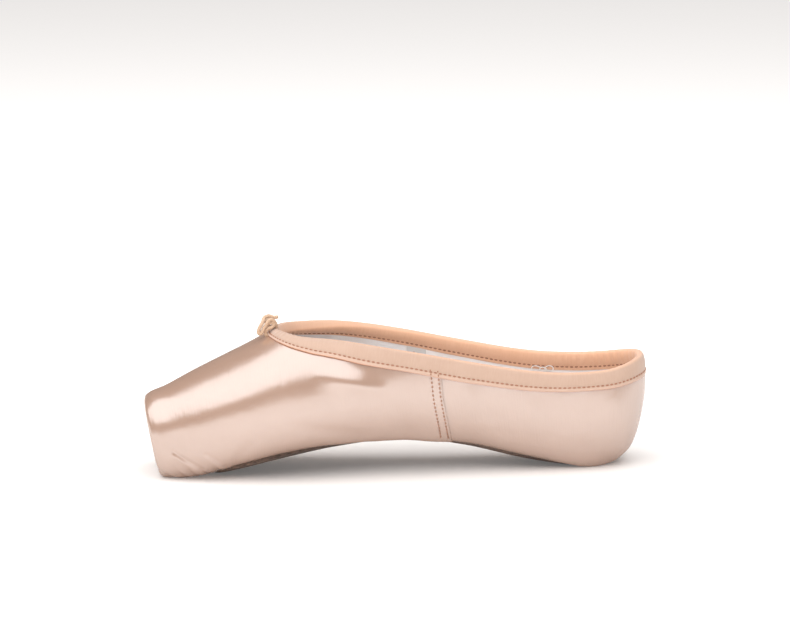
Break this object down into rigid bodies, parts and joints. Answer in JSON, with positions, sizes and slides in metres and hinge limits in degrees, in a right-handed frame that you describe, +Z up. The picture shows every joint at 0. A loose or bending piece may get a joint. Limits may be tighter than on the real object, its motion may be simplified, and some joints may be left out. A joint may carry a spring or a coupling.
{
  "type": "pointe shoe",
  "caption": "Pointe shoe with a satin upper, stiff toe box, waisted leather sole and a drawstring collar, standing empty.",
  "frame": {"origin": "on the floor, midway between the toe tip and the heel back, and midway across the shoe", "axes": "+X from toe to heel, +Z up, +Y across the shoe"},
  "size_m": [0.2352, 0.0708, 0.0734],
  "materials": {
    "satin": "peach pink satin over a stiffened box",
    "sole_leather": "plain split leather",
    "insole_board": "board covered in grey white cotton",
    "binding_tape": "matte folded cotton tape",
    "drawstring_cotton": "thin braided cotton cord"
  },
  "bodies": {
    "root": {"upper": "satin", "outsole": "sole_leather", "insole": "insole_board", "binding": "binding_tape", "drawstring_knot": "drawstring_cotton", "drawstring_near_loop": "drawstring_cotton", "drawstring_far_loop": "drawstring_cotton", "drawstring_near_end": "drawstring_cotton", "drawstring_far_end": "drawstring_cotton"}
  },
  "joints": []
}
